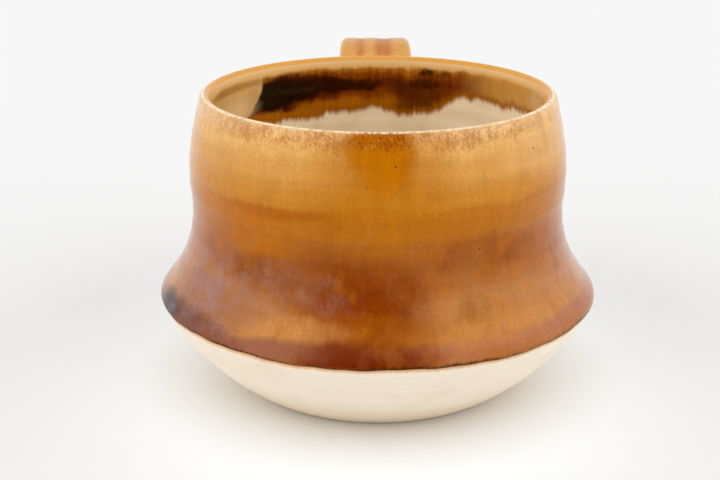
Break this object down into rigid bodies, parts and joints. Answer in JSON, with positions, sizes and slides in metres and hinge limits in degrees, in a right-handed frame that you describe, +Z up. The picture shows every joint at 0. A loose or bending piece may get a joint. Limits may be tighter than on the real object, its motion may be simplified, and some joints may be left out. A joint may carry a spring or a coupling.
{
  "type": "wide mug",
  "caption": "Wide stoneware mug with a low flared belly, a bare clay foot, amber glaze outside, a pale liner with a dark run band inside the lip, and a pulled strap handle.",
  "frame": {"origin": "centre of the flat foot, on the mug's axis, on the table", "axes": "+Z up along the mug's axis, +Y out towards the handle, +X to the right when the handle is behind the cup"},
  "size_m": [0.1188, 0.1471, 0.0807],
  "materials": {
    "bare_clay": "matte",
    "clay_slip": "matte",
    "amber_glaze": "satin",
    "dark_run_glaze": "gloss",
    "cream_liner": "satin",
    "amber_handle_glaze": "satin"
  },
  "bodies": {
    "root": {"thrown_body": "bare_clay", "handle_strap": "bare_clay", "upper_slip_joint": "clay_slip", "lower_slip_joint": "clay_slip", "outer_glaze": "amber_glaze", "rim_glaze": "dark_run_glaze", "liner_glaze": "cream_liner", "handle_glaze": "amber_handle_glaze"}
  },
  "joints": []
}
